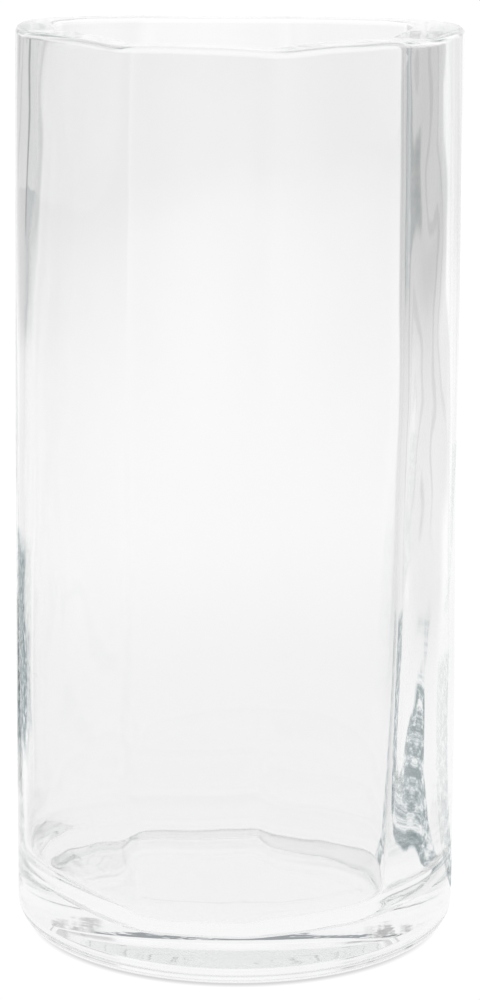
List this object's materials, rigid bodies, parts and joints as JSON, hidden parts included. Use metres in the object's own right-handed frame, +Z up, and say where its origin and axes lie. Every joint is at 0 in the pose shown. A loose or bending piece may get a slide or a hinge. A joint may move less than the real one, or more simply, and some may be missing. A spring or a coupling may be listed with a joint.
{
  "type": "cylinder vase",
  "caption": "Heavy clear glass cylinder vase with a thick uneven wall, a fire-polished lip, a rounded heel and a solid glass base.",
  "frame": {"origin": "centre of the underside, on the surface that the vase stands on", "axes": "+Z up through the mouth; -Y is the front; the thicker side of the wall is at +X"},
  "size_m": [0.0998, 0.0998, 0.2044],
  "materials": {
    "clear_glass": "clear, fire-polished, smooth"
  },
  "bodies": {
    "root": {"rim": "clear_glass", "wall": "clear_glass", "heel": "clear_glass", "base": "clear_glass"}
  },
  "joints": []
}
